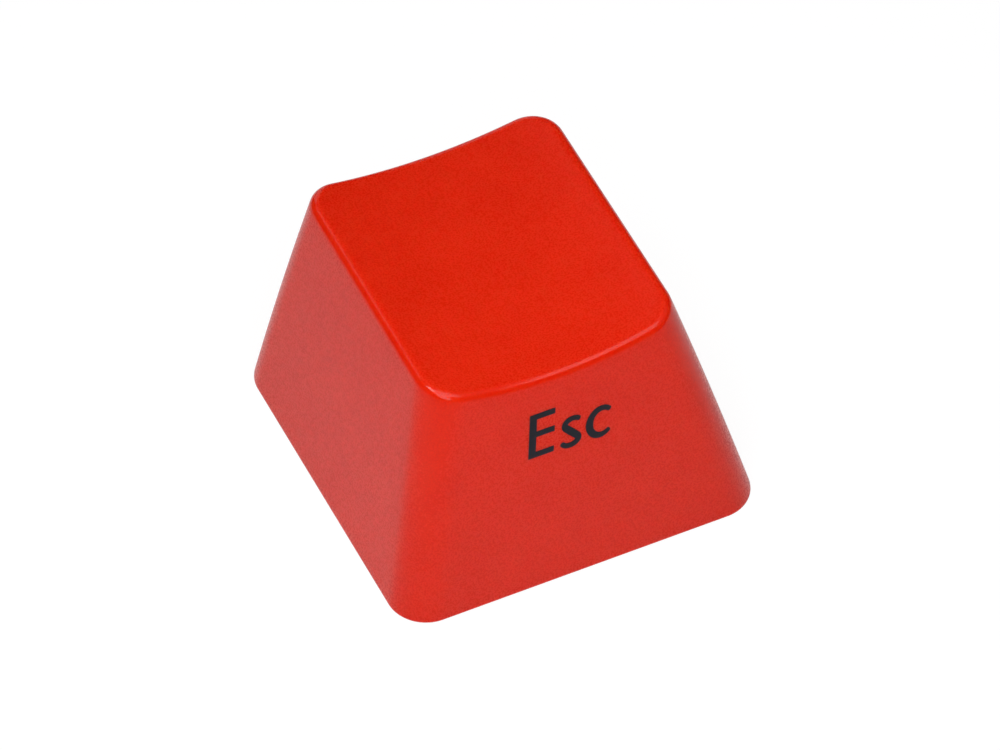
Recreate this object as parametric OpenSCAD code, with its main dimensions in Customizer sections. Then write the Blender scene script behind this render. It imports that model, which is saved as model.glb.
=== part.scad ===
// Keyboard keycap, one key unit square, in the tall form of the rearmost row.
// It is moulded in one piece: a tapering shell with a dished crown and, inside
// it, a round post with a cross-shaped socket that four ribs tie to the walls.
// The origin is the middle of the rim's plane, on the post's axis. X runs to
// the right, Y to the rear of the keyboard and Z up. All sizes are millimetres.

/* [Rim] */
// Width of the rim, left to right
base_width = 18.2; // [17.8:0.1:18.6]
// Depth of the rim, front to rear
base_depth = 18.2; // [17.8:0.1:18.6]
// Radius of the walls' corners at the rim, seen from above
base_corner = 1.9; // [1.6:0.1:2.4]
// Rounding of the rim's outer and inner edges
rim_round = 0.15; // [0.05:0.05:0.3]

/* [Crown] */
// Height of the crown's left and right edges above the rim
crown_height = 11.35; // [10:0.05:12.5]
// Width of the crown, left to right, before its edge is rounded
crown_width = 12.4; // [11.6:0.1:13.2]
// Depth of the crown, front to rear, before its edge is rounded
crown_depth = 14.15; // [13:0.05:15]
// How far the crown's middle lies behind the rim's middle
crown_shift = 1.35; // [0.8:0.05:1.6]
// Radius of the walls' corners at the crown, seen from above
crown_corner = 1.7; // [1.2:0.1:2.2]
// Slope of the crown in degrees, higher at the rear
crown_tilt = 0.8; // [0:0.1:4]
// Depth of the dish that runs front to rear in the crown
dish_depth = 0.85; // [0.5:0.05:1.1]
// Radius of the rounded edge round the crown
edge_round = 0.45; // [0.2:0.05:0.5]

/* [Walls] */
// Thickness of the four walls
wall = 1.3; // [1:0.05:1.5]
// Thickness of the roof under the deepest line of the dish
roof = 1.5; // [1.1:0.05:1.9]
// How far the left, right and rear walls swell out at mid-height
side_swell = 0.05; // [0:0.01:0.12]
// How far the front wall swells out at mid-height
front_swell = 0.1; // [0:0.01:0.15]
// Smallest radius of the corners inside the cavity, seen from above
cavity_corner = 0.8; // [0.7:0.05:1]
// Radius between the cavity's walls and its ceiling
cavity_round = 0.6; // [0.4:0.05:0.7]

/* [Post] */
// Diameter of the post that takes the switch's stem
post_diameter = 5.5; // [5.3:0.05:5.8]
// How far the post's end stands back from the rim's plane
post_recess = 1; // [0.6:0.1:1.5]
// Bevel round the post's end
post_bevel = 0.2; // [0.1:0.05:0.3]
// Width of the flare where the post meets the ceiling
post_flare = 0.4; // [0.2:0.05:0.6]

/* [Socket] */
// Length of each slot of the cross
slot_length = 4.1; // [4.05:0.01:4.2]
// Width of the slot that runs left to right
slot_across = 1.31; // [1.27:0.01:1.36]
// Width of the slot that runs front to rear
slot_along = 1.17; // [1.13:0.01:1.22]
// Depth of the socket from the post's end
socket_depth = 3.9; // [3.7:0.1:4.4]
// Bevel that leads the switch's stem into the socket
socket_lead = 0.2; // [0.1:0.05:0.25]

/* [Ribs] */
// Thickness of the four ribs
rib_thickness = 0.9; // [0.6:0.05:1.2]
// How far the ribs hang below the ceiling
rib_drop = 3; // [2:0.1:3.8]

/* [Hidden] */
plastic_red = [0.85, 0.15, 0.06];
// How finely the shell is divided round its corners, sides and sections
corner_steps = 9;
long_steps = 16;
side_steps = 6;
crown_steps = 7;
round_steps = 5;
wall_steps = 6;
rim_steps = 3;
ceiling_steps = 2;
trim_steps = 6;
post_facets = 64;
// A short run along a face, to find which way it leaves an edge
probe = 0.3;
overshoot = 0.5;
// How far the flat ceiling lies below the top of the rounding round it
ceiling_trim = 0.02;
// How far the skin's own ceiling rises towards its middle, behind the flat one
ceiling_rise = 0.2;

dish_radius = (pow(crown_width / 2, 2) + pow(dish_depth, 2)) / (2 * dish_depth);
crown_middle = [0, crown_shift, crown_z(0, crown_shift)];
ceiling_middle = [0, crown_shift, ceiling_z(crown_shift) + ceiling_rise];
// The flat ceiling's plate is this thick, and the post and ribs run up past it
plate_thickness = roof / 3;
root_height = roof / 2;
post_top = ceiling_z(0) + root_height;
rib_foot = ceiling_z(0) - rib_drop;

function mix(a, b, share) = a + (b - a) * share;
function unit(v) = v / norm(v);

// The walls as functions of the height above the rim
function rise(z) = z / crown_height;
function swell(z, most) = most * 4 * rise(z) * (1 - rise(z));
function half_width(z) =
    mix(base_width / 2, crown_width / 2, rise(z)) + swell(z, side_swell);
function front_reach(z) =
    mix(base_depth / 2, crown_depth / 2 - crown_shift, rise(z)) + swell(z, front_swell);
function rear_reach(z) =
    mix(base_depth / 2, crown_depth / 2 + crown_shift, rise(z)) + swell(z, side_swell);
function corner_radius(z) = mix(base_corner, crown_corner, rise(z));

// The crown is a cylinder's hollow laid along the slope, and the ceiling is flat under it
function slope_z(y) = crown_height - dish_depth + (y - crown_shift) * tan(crown_tilt);
function crown_z(x, y) =
    slope_z(y) + (dish_radius - sqrt(pow(dish_radius, 2) - pow(x, 2))) / cos(crown_tilt);
function ceiling_z(y) = slope_z(y) - roof;

// A station is one place on the way round the cap: [across, back, facing].
// The first two, from 0 to 1, say where the outline's corner circle stands from
// left to right and from front to rear. The third is the way the wall faces, in
// degrees. A corner turns the facing, and a straight side moves the circle.
function corner(across, back, facing) =
    [for (k = [0 : corner_steps - 1]) [across, back, facing + 90 * k / corner_steps]];
stations = concat(
    [for (k = [0 : long_steps - 1]) [k / long_steps, 0, -90]],
    corner(1, 0, -90),
    [for (k = [0 : side_steps - 1]) [1, k / side_steps, 0]],
    corner(1, 1, 0),
    [for (k = [0 : long_steps - 1]) [1 - k / long_steps, 1, 90]],
    corner(0, 1, 90),
    [for (k = [0 : side_steps - 1]) [0, 1 - k / side_steps, 180]],
    corner(0, 0, 180)
);

// The wall's point at a station and a height, moved in by inset
function wall_point(station, z, inset = 0) =
    let (
        width = half_width(z) - inset,
        front = front_reach(z) - inset,
        rear = rear_reach(z) - inset,
        radius = max(corner_radius(z) - inset, cavity_corner)
    )
    [
        mix(radius - width, width - radius, station[0]) + radius * cos(station[2]),
        mix(radius - front, rear - radius, station[1]) + radius * sin(station[2]),
        z
    ];

// Moves a point straight up or down to the crown, or to the top of the cavity's rounding
function on_top(point, inside) =
    [point.x, point.y, inside ? ceiling_z(point.y) + ceiling_trim : crown_z(point.x, point.y)];

// Where the wall at a station meets the crown, or the top of the cavity inside
function top_edge(station, inside, z = crown_height, steps = trim_steps) =
    let (point = on_top(wall_point(station, z, inside ? wall : 0), inside))
    steps == 0 ? point : top_edge(station, inside, point.z, steps - 1);

// The points of an arc that rounds the edge between two faces, which leave it
// in the directions a and b
function rounded(edge, a, b, radius, steps) =
    let (
        between = acos(a * b),
        turn = 180 - between,
        middle = edge + unit(a + b) * radius / sin(between / 2),
        first = edge + a * radius / tan(between / 2) - middle,
        last = edge + b * radius / tan(between / 2) - middle
    )
    [
        for (k = [0 : steps])
            middle + (first * sin(turn * (1 - k / steps)) + last * sin(turn * k / steps)) / sin(turn)
    ];

// The rounded edge at a station, from the crown to the wall or from the ceiling to the wall
function top_round(station, inside) =
    let (
        edge = top_edge(station, inside),
        inward = [-cos(station[2]), -sin(station[2]), 0],
        along_top = unit(on_top(edge + inward * probe, inside) - edge),
        down_wall = unit(wall_point(station, edge.z - probe, inside ? wall : 0) - edge)
    )
    rounded(edge, along_top, down_wall, inside ? cavity_round : edge_round, round_steps);

function reversed(points) = [for (k = [len(points) - 1 : -1 : 0]) points[k]];

// One section of the shell: out over the crown, down the wall, under the rim,
// up the cavity's wall and in behind the ceiling
function section(station) =
    let (
        crown_edge = top_round(station, false),
        cavity_edge = reversed(top_round(station, true)),
        crown_end = crown_edge[round_steps].z,
        cavity_end = cavity_edge[0].z
    )
    concat(
        [
            for (k = [1 : crown_steps - 1])
                on_top(mix(crown_middle, crown_edge[0], k / crown_steps), false)
        ],
        crown_edge,
        [
            for (k = [1 : wall_steps])
                wall_point(station, mix(crown_end, rim_round, k / wall_steps))
        ],
        [
            for (turn = [1 : rim_steps])
                let (angle = 90 * turn / rim_steps)
                wall_point(station, rim_round * (1 - sin(angle)), rim_round * (1 - cos(angle)))
        ],
        [
            for (turn = [0 : rim_steps])
                let (angle = 90 * turn / rim_steps)
                wall_point(station, rim_round * (1 - cos(angle)), wall - rim_round * (1 - sin(angle)))
        ],
        [
            for (k = [1 : wall_steps - 1])
                wall_point(station, mix(rim_round, cavity_end, k / wall_steps), wall)
        ],
        cavity_edge,
        [
            for (k = [1 : ceiling_steps - 1])
                mix(cavity_edge[round_steps], ceiling_middle, k / ceiling_steps)
        ]
    );

// Skins a ring of sections, all with as many points, and closes it at two poles
module skin_sections(sections, first_pole, last_pole) {
    around = len(sections);
    along = len(sections[0]);
    function index(i, j) = (i % around) * along + j;
    points = concat([for (s = sections) each s], [first_pole, last_pole]);
    faces = concat(
        [for (i = [0 : around - 1]) [around * along, index(i + 1, 0), index(i, 0)]],
        [
            for (i = [0 : around - 1], j = [0 : along - 2])
                each [
                    [index(i, j), index(i + 1, j), index(i + 1, j + 1)],
                    [index(i, j), index(i + 1, j + 1), index(i, j + 1)]
                ]
        ],
        [for (i = [0 : around - 1]) [around * along + 1, index(i, along - 1), index(i + 1, along - 1)]]
    );
    polyhedron(points, faces, convexity = 8);
}

module shell() {
    skin_sections([for (s = stations) section(s)], crown_middle, ceiling_middle);
}

// The flat ceiling is the underside of a sloping plate, held all round in the walls
module ceiling_plate() {
    level = ceiling_z(crown_shift);
    across = half_width(level) - wall / 2;
    front = front_reach(level) - wall / 2 + crown_shift;
    rear = rear_reach(level) - wall / 2 - crown_shift;
    translate([0, crown_shift, level])
        rotate([crown_tilt, 0, 0])
            translate([-across, -front, 0])
                cube([2 * across, front + rear, plate_thickness]);
}

// The post, bevelled at its end and flared into the ceiling
module post() {
    radius = post_diameter / 2;
    flare_reach = root_height + post_flare;
    rotate_extrude($fn = post_facets)
        polygon([
            [0, post_recess],
            [radius - post_bevel, post_recess],
            [radius, post_recess + post_bevel],
            [radius, post_top - flare_reach],
            [radius + flare_reach, post_top],
            [0, post_top]
        ]);
}

// A rib's outline from the post's axis to the middle of a wall's thickness,
// where reach_foot and reach_top are the wall's outer face at its two heights
module rib(reach_foot, reach_top, top) {
    rotate([90, 0, 0])
        linear_extrude(height = rib_thickness, center = true)
            polygon([
                [0, rib_foot],
                [reach_foot - wall / 2, rib_foot],
                [reach_top - wall / 2, top],
                [0, post_top]
            ]);
}

module ribs() {
    front_top = ceiling_z(-front_reach(rib_foot)) + root_height;
    rear_top = ceiling_z(rear_reach(rib_foot)) + root_height;
    for (turn = [0, 180])
        rotate(turn) rib(half_width(rib_foot), half_width(post_top), post_top);
    rotate(-90) rib(front_reach(rib_foot), front_reach(front_top), front_top);
    rotate(90) rib(rear_reach(rib_foot), rear_reach(rear_top), rear_top);
}

// One slot of the cross, with a bevel that leads in to it
module slot(length, width) {
    mouth = 2 * socket_lead;
    translate([-length / 2, -width / 2, post_recess - overshoot])
        cube([length, width, socket_depth + overshoot]);
    hull() {
        translate([-(length + mouth) / 2, -(width + mouth) / 2, post_recess - overshoot])
            cube([length + mouth, width + mouth, overshoot]);
        translate([-length / 2, -width / 2, post_recess])
            cube([length, width, socket_lead]);
    }
}

module socket() {
    slot(slot_length, slot_across);
    rotate(90) slot(slot_length, slot_along);
}

module keycap() {
    color(plastic_red)
        difference() {
            union() {
                shell();
                ceiling_plate();
                post();
                ribs();
            }
            socket();
        }
}

keycap();
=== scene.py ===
"""The looks of a tall one-unit keycap: its fine mesh, its plastic, its printed legend and the studio.

Lengths in the shape's part are millimetres, as keycaps are specified, and become metres when a mesh is made.
"""
import math

import bmesh
import bpy
from mathutils import Matrix, Vector


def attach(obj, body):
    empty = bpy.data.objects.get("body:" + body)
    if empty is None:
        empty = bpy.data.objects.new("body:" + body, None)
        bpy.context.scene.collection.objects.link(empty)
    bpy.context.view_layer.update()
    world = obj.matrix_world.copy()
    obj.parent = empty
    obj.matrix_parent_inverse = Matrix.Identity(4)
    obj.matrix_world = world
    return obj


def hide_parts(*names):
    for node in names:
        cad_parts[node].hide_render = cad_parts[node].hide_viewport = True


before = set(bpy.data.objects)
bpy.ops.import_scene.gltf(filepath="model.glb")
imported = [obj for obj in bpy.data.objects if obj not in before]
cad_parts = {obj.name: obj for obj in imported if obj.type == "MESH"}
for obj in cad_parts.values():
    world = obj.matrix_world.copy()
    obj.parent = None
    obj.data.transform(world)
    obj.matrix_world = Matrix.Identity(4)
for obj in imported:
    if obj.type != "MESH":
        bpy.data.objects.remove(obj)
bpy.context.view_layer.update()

MM = 0.001

# The cap's sizes, the same as its solid has
BASE_WIDTH = 18.2
BASE_DEPTH = 18.2
BASE_CORNER = 1.9
RIM_ROUND = 0.15
CROWN_HEIGHT = 11.35
CROWN_WIDTH = 12.4
CROWN_DEPTH = 14.15
CROWN_SHIFT = 1.35
CROWN_CORNER = 1.7
CROWN_TILT = math.radians(0.8)
DISH_DEPTH = 0.85
EDGE_ROUND = 0.45
WALL = 1.3
ROOF = 1.5
SIDE_SWELL = 0.05
FRONT_SWELL = 0.1
CAVITY_CORNER = 0.8
CAVITY_ROUND = 0.6
POST_RADIUS = 2.75
POST_RECESS = 1.0
POST_BEVEL = 0.2
POST_FLARE = 0.4
SLOT_LENGTH = 4.1
SLOT_ACROSS = 1.31
SLOT_ALONG = 1.17
SOCKET_DEPTH = 3.9
SOCKET_LEAD = 0.2
RIB_THICKNESS = 0.9
RIB_DROP = 3.0
DISH_RADIUS = ((CROWN_WIDTH / 2) ** 2 + DISH_DEPTH**2) / (2 * DISH_DEPTH)

# How finely the shell is divided
CORNER_STEPS = 22
LONG_STEPS = 56
SIDE_STEPS = 26
CROWN_STEPS = 30
ROUND_STEPS = 10
OUTER_STEPS = 36
RIM_STEPS = 5
INNER_STEPS = 20
CEILING_STEPS = 8
TRIM_STEPS = 8
POST_FACETS = 128

# The step that measures a slope, the slot tools' start below the post, and the angle of a sharp edge
PROBE = 0.3
SLOT_START = 1.0
SHARP = math.radians(32)

# The printed word: where its baseline starts, how it leans, and how far its round letters stand from there
LEGEND_LEFT = -2.1
LEGEND_FOOT = 6.675
LEGEND_SLANT = 0.183
LEGEND_S = 1.58
LEGEND_C = 2.85
LEGEND_STEP = 0.2
LEGEND_CAP = 6
LEGEND_BLUNT = 0.5
E_HEIGHT = 2.11
E_WIDTH = 1.27
E_STEM = 0.36
E_BAR = 0.27
E_MIDDLE = 1.12
ROUND_PEN = 0.38
S_PEN = 0.34
PEN_END = 0.22
S_STEPS = 20
S_SPINE = 8
C_STEPS = 44
WELD = 1e-4
INK_HEIGHT = 0.01
INK_SINK = 0.04

# The round letters' ovals: middle across and up, half width, half height, and start and end in degrees
S_UPPER = (0.6, 1.02, 0.4, 0.26, 38, 205)
S_LOWER = (0.5, 0.25, 0.41, 0.25, 25, -165)
C_OVAL = (0.78, 0.63, 0.6, 0.645, 50, 310)

# The plastic: its colours, the grain of the mould, and the polish that fingers leave on the crown's edge
RED_DARK = (0.64, 0.0120, 0.0010)
RED_LIGHT = (0.74, 0.0235, 0.0045)
INK_DARK = (0.003, 0.0035, 0.009)
INK_LIGHT = (0.006, 0.0065, 0.015)
RED_ROUGHNESS = 0.28
INK_ROUGHNESS = 0.34
ROUGHNESS_SPREAD = 0.05
PLASTIC_IOR = 1.33
GLOW_WITHIN = 1.0
GLOW_REACH = (0.35, 0.1, 0.05)
GRAIN_SIZE = 0.09 * MM
GRAIN_DEPTH = 0.0065 * MM
GRAIN_DETAIL = 2.0
GRAIN_LOW = 0.3
GRAIN_HIGH = 0.7
CLOUD_SIZE = 2 * MM
CLOUD_DETAIL = 1.0
CLOUD_SHARE = 0.25
TINT_SPREAD = 0.2
POLISH = 0.65
POLISH_WALL = (0.34, 0.44)
POLISH_CROWN = (0.97, 0.94)

# The camera's place in millimetres and its lens, found from the cap's outline in the photograph
CAMERA_TURN = math.radians(25.682)
CAMERA_HEIGHT = math.radians(48.648)
CAMERA_ROLL = math.radians(-0.299)
CAMERA_DISTANCE = 381.04
AIM = Vector((0, 0, 5))
AIM_RIGHT = 0.059
AIM_UP = 0.643
SENSOR = 36.0
FOCAL_PIXELS = 8335
IMAGE_WIDTH = 1000
LENS = FOCAL_PIXELS * SENSOR / IMAGE_WIDTH
CLIP_NEAR = 0.01
CLIP_FAR = 10.0

# The studio in metres, and its lamps: name, turn and height in degrees, distance, size, and power in watts
FLOOR_SIZE = 4.0
FLOOR_GAP = 0.01 * MM
FLOOR_WHITE = 0.9
FLOOR_GLOW = 0.9
FLOOR_STRENGTH = 1.04
FLOOR_IN_GLOSS = 0.53
AMBIENT = 0.2
AMBIENT_IN_GLOSS = 0.03
LAMPS = (
    ("key", 240, 45, 0.08, 0.04, 0.0175),
    ("left", 225, 65, 0.08, 0.04, 0.006),
    ("near", 275, 73, 0.06, 0.034, 0.0084),
    ("over", 186, 66, 0.25, 0.075, 0.16),
    ("right", 335, 56, 0.25, 0.18, 0.03),
    ("rear_low", 85, 22, 0.25, 0.12, 0.045),
    ("rear_high", 114, 48, 0.3, 0.1, 0.03),
)


def mix(a, b, share):
    return a + (b - a) * share


def rise(z):
    return z / CROWN_HEIGHT


def swell(z, most):
    return most * 4 * rise(z) * (1 - rise(z))


def half_width(z):
    return mix(BASE_WIDTH / 2, CROWN_WIDTH / 2, rise(z)) + swell(z, SIDE_SWELL)


def front_reach(z):
    return mix(BASE_DEPTH / 2, CROWN_DEPTH / 2 - CROWN_SHIFT, rise(z)) + swell(z, FRONT_SWELL)


def rear_reach(z):
    return mix(BASE_DEPTH / 2, CROWN_DEPTH / 2 + CROWN_SHIFT, rise(z)) + swell(z, SIDE_SWELL)


def slope_z(y):
    return CROWN_HEIGHT - DISH_DEPTH + (y - CROWN_SHIFT) * math.tan(CROWN_TILT)


def crown_z(x, y):
    return slope_z(y) + (DISH_RADIUS - math.sqrt(DISH_RADIUS**2 - x**2)) / math.cos(CROWN_TILT)


def ceiling_z(y):
    return slope_z(y) - ROOF


def stations():
    """Places on the way round the cap: where the corner circle stands, and which way the wall faces."""
    places = []
    quarter = math.pi / 2
    sides = (
        (0, 0, 1, 0, LONG_STEPS),
        (1, 0, 1, 1, SIDE_STEPS),
        (1, 1, 0, 1, LONG_STEPS),
        (0, 1, 0, 0, SIDE_STEPS),
    )
    for side, (x0, y0, x1, y1, steps) in enumerate(sides):
        facing = (side - 1) * quarter
        places += [(mix(x0, x1, k / steps), mix(y0, y1, k / steps), facing) for k in range(steps)]
        places += [(x1, y1, facing + quarter * k / CORNER_STEPS) for k in range(CORNER_STEPS)]
    return places


def wall_point(station, z, inset=0.0):
    """The wall's point at a station and a height, moved in by inset."""
    across, back, facing = station
    width = half_width(z) - inset
    front = front_reach(z) - inset
    rear = rear_reach(z) - inset
    radius = max(mix(BASE_CORNER, CROWN_CORNER, rise(z)) - inset, CAVITY_CORNER)
    x = mix(radius - width, width - radius, across) + radius * math.cos(facing)
    y = mix(radius - front, rear - radius, back) + radius * math.sin(facing)
    return Vector((x, y, z))


def on_top(point, inside):
    """The point moved straight up or down to the crown, or to the ceiling inside."""
    z = ceiling_z(point.y) if inside else crown_z(point.x, point.y)
    return Vector((point.x, point.y, z))


def top_round(station, inside):
    """The rounded edge at a station, from the crown to the wall or from the ceiling to the wall."""
    inset = WALL if inside else 0.0
    radius = CAVITY_ROUND if inside else EDGE_ROUND
    edge = Vector((0, 0, CROWN_HEIGHT))
    for _ in range(TRIM_STEPS):
        edge = on_top(wall_point(station, edge.z, inset), inside)
    inward = Vector((-math.cos(station[2]), -math.sin(station[2]), 0)) * PROBE
    along_top = (on_top(edge + inward, inside) - edge).normalized()
    down_wall = (wall_point(station, edge.z - PROBE, inset) - edge).normalized()
    between = math.acos(along_top.dot(down_wall))
    turn = math.pi - between
    middle = edge + (along_top + down_wall).normalized() * radius / math.sin(between / 2)
    first = edge + along_top * radius / math.tan(between / 2) - middle
    last = edge + down_wall * radius / math.tan(between / 2) - middle
    points = []
    for k in range(ROUND_STEPS + 1):
        share = turn * k / ROUND_STEPS
        points.append(middle + (first * math.sin(turn - share) + last * math.sin(share)) / math.sin(turn))
    return points


def section(station):
    """One section of the shell: from the crown's middle out, down, round the rim and in under the ceiling."""
    crown_middle = Vector((0, CROWN_SHIFT, 0))
    crown_edge = top_round(station, False)
    cavity_edge = top_round(station, True)[::-1]
    points = []
    for k in range(1, CROWN_STEPS):
        points.append(on_top(mix(crown_middle, crown_edge[0], k / CROWN_STEPS), False))
    points += crown_edge
    foot = crown_edge[-1].z
    points += [wall_point(station, mix(foot, RIM_ROUND, k / OUTER_STEPS)) for k in range(1, OUTER_STEPS + 1)]
    for k in range(1, RIM_STEPS + 1):
        angle = math.pi / 2 * k / RIM_STEPS
        inset = RIM_ROUND * (1 - math.cos(angle))
        points.append(wall_point(station, RIM_ROUND * (1 - math.sin(angle)), inset))
    for k in range(RIM_STEPS + 1):
        angle = math.pi / 2 * k / RIM_STEPS
        inset = WALL - RIM_ROUND * (1 - math.sin(angle))
        points.append(wall_point(station, RIM_ROUND * (1 - math.cos(angle)), inset))
    head = cavity_edge[0].z
    for k in range(1, INNER_STEPS):
        points.append(wall_point(station, mix(RIM_ROUND, head, k / INNER_STEPS), WALL))
    points += cavity_edge
    for k in range(1, CEILING_STEPS):
        points.append(on_top(mix(cavity_edge[-1], crown_middle, k / CEILING_STEPS), True))
    return points


def mesh_object(name, points, faces, smooth_angle=SHARP):
    """An object of points in millimetres, smooth but for its sharp edges."""
    mesh = bpy.data.meshes.new(name)
    mesh.from_pydata([Vector(p) * MM for p in points], [], faces)
    mesh.validate()
    mesh.shade_smooth()
    mesh.set_sharp_from_angle(angle=smooth_angle)
    piece = bpy.data.objects.new(name, mesh)
    bpy.context.scene.collection.objects.link(piece)
    return piece


def shell():
    """The whole outside and inside of the cap, closed at the crown's and the ceiling's middles."""
    sections = [section(station) for station in stations()]
    around, along = len(sections), len(sections[0])
    points = [point for one in sections for point in one]
    points += [on_top(Vector((0, CROWN_SHIFT, 0)), False), on_top(Vector((0, CROWN_SHIFT, 0)), True)]
    faces = []
    for i in range(around):
        a, b = i * along, (i + 1) % around * along
        faces.append((around * along, a, b))
        faces += [(a + j, a + j + 1, b + j + 1, b + j) for j in range(along - 1)]
        faces.append((around * along + 1, b + along - 1, a + along - 1))
    return mesh_object("keycap_body", points, faces)


def prism(name, outline, depth, turn=0.0):
    """A solid whose outline in X and Z is given, centred on Y and then turned about Z."""
    count = len(outline)
    points = [(x, y, z) for y in (-depth / 2, depth / 2) for x, z in outline]
    faces = [tuple(range(count)), tuple(range(2 * count - 1, count - 1, -1))]
    faces += [(k, k + count, (k + 1) % count + count, (k + 1) % count) for k in range(count)]
    piece = mesh_object(name, points, faces)
    piece.data.transform(Matrix.Rotation(turn, 4, "Z"))
    tidy_normals(piece)
    return piece


def tidy_normals(piece):
    """Turns every face outwards."""
    work = bmesh.new()
    work.from_mesh(piece.data)
    bmesh.ops.recalc_face_normals(work, faces=work.faces)
    work.to_mesh(piece.data)
    work.free()


def post():
    """The turned post, bevelled at its end and flared where it meets the ceiling."""
    top = ceiling_z(0) + ROOF / 2
    spread = POST_FLARE + ROOF / 2
    profile = [
        (0, POST_RECESS),
        (POST_RADIUS - POST_BEVEL, POST_RECESS),
        (POST_RADIUS, POST_RECESS + POST_BEVEL),
        (POST_RADIUS, top - spread),
        (POST_RADIUS + spread, top),
        (0, top),
    ]
    points = [(0, 0, POST_RECESS), (0, 0, top)]
    ring = profile[1:-1]
    for k in range(POST_FACETS):
        angle = 2 * math.pi * k / POST_FACETS
        points += [(r * math.cos(angle), r * math.sin(angle), z) for r, z in ring]
    faces = []
    for k in range(POST_FACETS):
        a = 2 + k * len(ring)
        b = 2 + (k + 1) % POST_FACETS * len(ring)
        faces.append((0, b, a))
        faces += [(a + j, b + j, b + j + 1, a + j + 1) for j in range(len(ring) - 1)]
        faces.append((1, a + len(ring) - 1, b + len(ring) - 1))
    piece = mesh_object("post", points, faces)
    tidy_normals(piece)
    return piece


def ribs():
    """Four plates that tie the post to the walls."""
    foot = ceiling_z(0) - RIB_DROP
    top = ceiling_z(0) + ROOF / 2
    pieces = []
    for k, reach in enumerate((half_width, rear_reach, half_width, front_reach)):
        outline = [(0, foot), (reach(foot) - WALL / 2, foot), (reach(top) - WALL / 2, top), (0, top)]
        pieces.append(prism(f"rib_{k}", outline, RIB_THICKNESS, k * math.pi / 2))
    return pieces


def slot_tools():
    """The two slots of the cross, each with its lead-in."""
    pieces = []
    for turn, width in ((0, SLOT_ACROSS), (math.pi / 2, SLOT_ALONG)):
        low, high = POST_RECESS, POST_RECESS + SOCKET_DEPTH
        points = []
        levels = ((low - SLOT_START, SOCKET_LEAD), (low, SOCKET_LEAD), (low + SOCKET_LEAD, 0), (high, 0))
        for z, wide in levels:
            x, y = SLOT_LENGTH / 2 + wide, width / 2 + wide
            points += [(-x, -y, z), (x, -y, z), (x, y, z), (-x, y, z)]
        faces = [(3, 2, 1, 0), (12, 13, 14, 15)]
        for level in range(3):
            for k in range(4):
                a, b = level * 4 + k, level * 4 + (k + 1) % 4
                faces.append((a, b, b + 4, a + 4))
        piece = mesh_object("slot", points, faces)
        piece.data.transform(Matrix.Rotation(turn, 4, "Z"))
        tidy_normals(piece)
        pieces.append(piece)
    return pieces


def combine(body, tools, operation):
    """Adds the tools to the body or cuts them from it, and removes them."""
    for tool in tools:
        step = body.modifiers.new(operation, "BOOLEAN")
        step.operation = operation
        step.solver = "MANIFOLD"
        step.object = tool
        with bpy.context.temp_override(object=body, active_object=body, selected_objects=[body]):
            bpy.ops.object.modifier_apply(modifier=step.name)
        bpy.data.objects.remove(tool)


def legend_spot(across, up, offset):
    """A point of the printed word on the front wall, offset outwards from the plastic."""
    x = LEGEND_LEFT + across + up * LEGEND_SLANT
    z = LEGEND_FOOT + up
    slope = (front_reach(z + PROBE) - front_reach(z - PROBE)) / (2 * PROBE)
    outward = Vector((0, -1, -slope)).normalized()
    return Vector((x, -front_reach(z), z)) + outward * offset


def grid_letter(columns, rows, filled):
    """Quads of a straight-sided letter: columns and rows are its breaks, and filled marks the inked cells."""
    cells = []
    for i, marks in enumerate(filled):
        for j, mark in enumerate(marks):
            if mark == "#":
                steps = max(1, round((rows[j + 1] - rows[j]) / LEGEND_STEP))
                levels = [mix(rows[j], rows[j + 1], k / steps) for k in range(steps + 1)]
                x0, x1 = columns[i], columns[i + 1]
                cells += [((x0, a), (x1, a), (x1, b), (x0, b)) for a, b in zip(levels, levels[1:])]
    return cells


def stroke_letter(path, width, thin_end):
    """Quads of one stroke along a path, thinning towards its rounded ends."""
    left, right = [], []
    last = len(path) - 1
    for k, spot in enumerate(path):
        along = (path[min(k + 1, last)] - path[max(k - 1, 0)]).normalized()
        beside = Vector((-along.y, along.x))
        share = abs(2 * k / last - 1)
        half = mix(width, thin_end, share) / 2
        left.append(spot + beside * half)
        right.append(spot - beside * half)
    quads = [(left[k], left[k + 1], right[k + 1], right[k]) for k in range(last)]
    for end, before in ((0, 1), (last, last - 1)):
        outward = (path[end] - path[before]).normalized()
        rim = [path[end] + (left[end] - path[end]) * math.cos(math.pi * k / LEGEND_CAP)
               + outward * thin_end / 2 * LEGEND_BLUNT * math.sin(math.pi * k / LEGEND_CAP)
               for k in range(LEGEND_CAP + 1)]
        half = LEGEND_CAP // 2
        quads += [(rim[k], rim[k + 1], rim[LEGEND_CAP - k - 1], rim[LEGEND_CAP - k]) for k in range(half - 1)]
        quads.append((rim[half - 1], rim[half], rim[half + 1]))
    return quads


def arc(left, oval, steps):
    """Points of an oval's arc, for a letter that starts at left."""
    across, up, wide, high, start, end = oval
    angles = [math.radians(mix(start, end, k / steps)) for k in range(steps + 1)]
    return [Vector((left + across + wide * math.cos(a), up + high * math.sin(a))) for a in angles]


def letter_e():
    rows = [0, E_BAR, E_MIDDLE - E_BAR / 2, E_MIDDLE + E_BAR / 2, E_HEIGHT - E_BAR, E_HEIGHT]
    return grid_letter([0, E_STEM, E_WIDTH], rows, ("#####", "#.#.#"))


def letter_s(left):
    upper = arc(left, S_UPPER, S_STEPS)
    lower = arc(left, S_LOWER, S_STEPS)
    spine = [upper[-1].lerp(lower[0], k / S_SPINE) for k in range(1, S_SPINE)]
    return stroke_letter(upper + spine + lower, S_PEN, PEN_END)


def letter_c(left):
    return stroke_letter(arc(left, C_OVAL, C_STEPS), ROUND_PEN, PEN_END)


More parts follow.
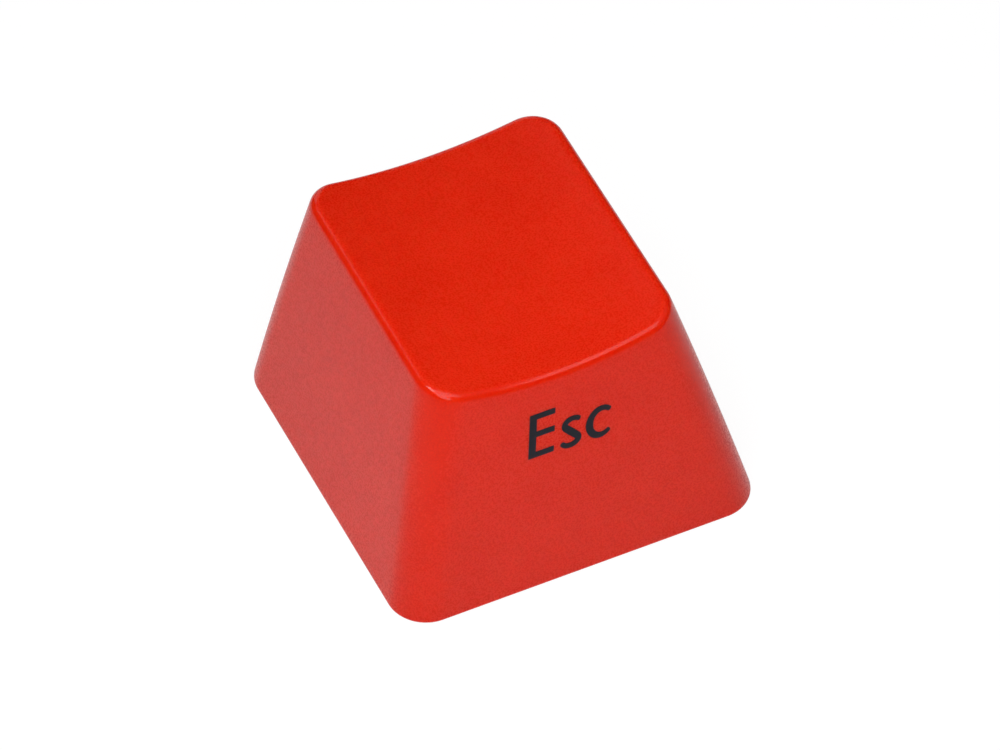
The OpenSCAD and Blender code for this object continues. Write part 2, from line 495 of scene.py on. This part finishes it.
def legend():
    """The word printed on the front wall: a thin closed layer that starts inside the plastic."""
    work = bmesh.new()
    for corners in letter_e() + letter_s(LEGEND_S) + letter_c(LEGEND_C):
        work.faces.new([work.verts.new((x, 0, z)) for x, z in corners])
    bmesh.ops.remove_doubles(work, verts=work.verts, dist=WELD)
    bmesh.ops.recalc_face_normals(work, faces=work.faces)
    grown = bmesh.ops.extrude_face_region(work, geom=list(work.faces))
    sunk = {item for item in grown["geom"] if isinstance(item, bmesh.types.BMVert)}
    for corner in work.verts:
        offset = -INK_SINK if corner in sunk else INK_HEIGHT
        corner.co = legend_spot(corner.co.x, corner.co.z, offset) * MM
    bmesh.ops.recalc_face_normals(work, faces=work.faces)
    mesh = bpy.data.meshes.new("legend")
    work.to_mesh(mesh)
    work.free()
    piece = bpy.data.objects.new("legend", mesh)
    bpy.context.scene.collection.objects.link(piece)
    return piece


class Nodes:
    """A short way to add nodes to a material and join them."""

    def __init__(self, name):
        self.material = bpy.data.materials.new(name)
        self.material.use_nodes = True
        self.tree = self.material.node_tree
        self.tree.nodes.clear()

    def add(self, kind, inputs=None, **settings):
        node = self.tree.nodes.new(kind)
        for key, value in settings.items():
            setattr(node, key, value)
        for key, value in (inputs or {}).items():
            if isinstance(value, bpy.types.NodeSocket):
                self.tree.links.new(value, node.inputs[key])
            else:
                node.inputs[key].default_value = value
        return node

    def ramp(self, value, low, high, to_low=0.0, to_high=1.0):
        """The value from low to high, spread over to_low to to_high and held at those."""
        reach = {"Value": value, "From Min": low, "From Max": high, "To Min": to_low, "To Max": to_high}
        return self.add("ShaderNodeMapRange", reach).outputs[0]

    def math(self, operation, *values):
        return self.add("ShaderNodeMath", dict(enumerate(values)), operation=operation).outputs[0]

    def noise(self, place, size, detail):
        node = self.add("ShaderNodeTexNoise", {"Vector": place, "Scale": 1 / size, "Detail": detail})
        return node.outputs["Fac"]

    def surface(self, socket):
        out = self.add("ShaderNodeOutputMaterial")
        self.tree.links.new(socket, out.inputs["Surface"])
        return self.material


def moulded(name, dark, light, roughness):
    """Moulded plastic with a fine grain, a little uneven in colour and polished on the crown's edge."""
    nodes = Nodes(name)
    texture_space = nodes.add("ShaderNodeTexCoord")
    place = texture_space.outputs["Object"]
    grain = nodes.noise(place, GRAIN_SIZE, GRAIN_DETAIL)
    cloud = nodes.noise(place, CLOUD_SIZE, CLOUD_DETAIL)
    middle = (1 + CLOUD_SHARE) / 2
    share = nodes.math("MULTIPLY_ADD", cloud, CLOUD_SHARE, grain)
    spread = nodes.ramp(share, middle - TINT_SPREAD, middle + TINT_SPREAD)
    tint = nodes.add("ShaderNodeMix", {"Factor": spread}, data_type="RGBA")
    tint.inputs[6].default_value = (*dark, 1)
    tint.inputs[7].default_value = (*light, 1)
    upward = nodes.add("ShaderNodeSeparateXYZ", {0: texture_space.outputs["Normal"]}).outputs["Z"]
    above_wall = nodes.ramp(upward, *POLISH_WALL)
    below_crown = nodes.ramp(upward, *POLISH_CROWN, 0.0, POLISH)
    dull = nodes.math("SUBTRACT", 1.0, nodes.math("MULTIPLY", above_wall, below_crown))
    smoothest, roughest = roughness - ROUGHNESS_SPREAD, roughness + ROUGHNESS_SPREAD
    rough = nodes.ramp(grain, GRAIN_LOW, GRAIN_HIGH, smoothest, roughest)
    bump = nodes.add("ShaderNodeBump", {"Height": grain, "Strength": dull, "Distance": GRAIN_DEPTH})
    shader = nodes.add("ShaderNodeBsdfPrincipled", {
        "Base Color": tint.outputs[2],
        "Roughness": nodes.math("MULTIPLY", rough, dull),
        "Normal": bump.outputs[0],
        "IOR": PLASTIC_IOR,
        "Subsurface Weight": GLOW_WITHIN,
        "Subsurface Radius": GLOW_REACH,
        "Subsurface Scale": MM,
    })
    return nodes.surface(shader.outputs[0])


def studio_floor():
    """A plain floor that keeps the cap's shadow: white to the camera, and dimmer in the plastic's sheen."""
    nodes = Nodes("studio_floor")
    path = nodes.add("ShaderNodeLightPath")
    glossy, direct = path.outputs["Is Glossy Ray"], path.outputs["Is Camera Ray"]
    share = nodes.math("MULTIPLY", nodes.math("MULTIPLY_ADD", glossy, FLOOR_IN_GLOSS, direct), FLOOR_GLOW)
    plain = nodes.add("ShaderNodeBsdfDiffuse", {"Color": (FLOOR_WHITE, FLOOR_WHITE, FLOOR_WHITE, 1)})
    glow = nodes.add("ShaderNodeEmission", {"Color": (1, 1, 1, 1), "Strength": FLOOR_STRENGTH})
    both = nodes.add("ShaderNodeMixShader", {0: share, 1: plain.outputs[0], 2: glow.outputs[0]})
    half = FLOOR_SIZE / 2
    mesh = bpy.data.meshes.new("floor")
    corners = [(x, y, -FLOOR_GAP) for x, y in ((-half, -half), (half, -half), (half, half), (-half, half))]
    mesh.from_pydata(corners, [], [(0, 1, 2, 3)])
    mesh.materials.append(nodes.surface(both.outputs[0]))
    floor = bpy.data.objects.new("floor", mesh)
    bpy.context.scene.collection.objects.link(floor)


def studio_world():
    """White where the camera looks past the floor, and dim where it only lights the cap."""
    world = bpy.data.worlds.new("studio")
    bpy.context.scene.world = world
    world.use_nodes = True
    nodes, links = world.node_tree.nodes, world.node_tree.links
    path = nodes.new("ShaderNodeLightPath")
    dim = nodes.new("ShaderNodeMapRange")
    dim.inputs["To Min"].default_value = AMBIENT
    dim.inputs["To Max"].default_value = AMBIENT_IN_GLOSS
    level = nodes.new("ShaderNodeMapRange")
    level.inputs["To Max"].default_value = 1.0
    links.new(path.outputs["Is Glossy Ray"], dim.inputs["Value"])
    links.new(path.outputs["Is Camera Ray"], level.inputs["Value"])
    links.new(dim.outputs[0], level.inputs["To Min"])
    links.new(level.outputs[0], nodes["Background"].inputs["Strength"])
    nodes["Background"].inputs["Color"].default_value = (1, 1, 1, 1)


def lamp(name, turn, height, distance, size, power):
    """A square soft lamp that faces the cap: turn is from +X towards +Y, height is above the floor."""
    data = bpy.data.lights.new(name, "AREA")
    data.size = size
    data.energy = power
    turn, height = math.radians(turn), math.radians(height)
    level = math.cos(height)
    direction = Vector((math.cos(turn) * level, math.sin(turn) * level, math.sin(height)))
    piece = bpy.data.objects.new(name, data)
    piece.location = direction * distance
    piece.rotation_euler = direction.to_track_quat("Z", "Y").to_euler()
    bpy.context.scene.collection.objects.link(piece)


def camera():
    """The camera stands where the photograph's did."""
    data = bpy.data.cameras.new("camera")
    data.sensor_width = SENSOR
    data.lens = LENS
    data.clip_start = CLIP_NEAR
    data.clip_end = CLIP_FAR
    forward = Vector((
        math.sin(CAMERA_TURN) * math.cos(CAMERA_HEIGHT),
        math.cos(CAMERA_TURN) * math.cos(CAMERA_HEIGHT),
        -math.sin(CAMERA_HEIGHT),
    ))
    roll = Matrix.Rotation(CAMERA_ROLL, 3, forward)
    right = roll @ Vector((math.cos(CAMERA_TURN), -math.sin(CAMERA_TURN), 0))
    up = right.cross(forward)
    place = AIM - right * AIM_RIGHT - up * AIM_UP - forward * CAMERA_DISTANCE
    axes = Matrix((right, up, -forward)).transposed()
    piece = bpy.data.objects.new("camera", data)
    piece.matrix_world = Matrix.Translation(place * MM) @ axes.to_4x4()
    bpy.context.scene.collection.objects.link(piece)
    bpy.context.scene.camera = piece


body = shell()
combine(body, [post()] + ribs(), "UNION")
combine(body, slot_tools(), "DIFFERENCE")
body.data.set_sharp_from_angle(angle=SHARP)
body.data.materials.clear()
body.data.materials.append(moulded("red_plastic", RED_DARK, RED_LIGHT, RED_ROUGHNESS))
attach(body, "root")
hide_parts("keycap")

word = legend()
word.data.materials.append(moulded("legend_ink", INK_DARK, INK_LIGHT, INK_ROUGHNESS))
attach(word, "root")

camera()
studio_floor()
studio_world()
for settings in LAMPS:
    lamp(*settings)
bpy.context.scene.view_settings.view_transform = "Standard"
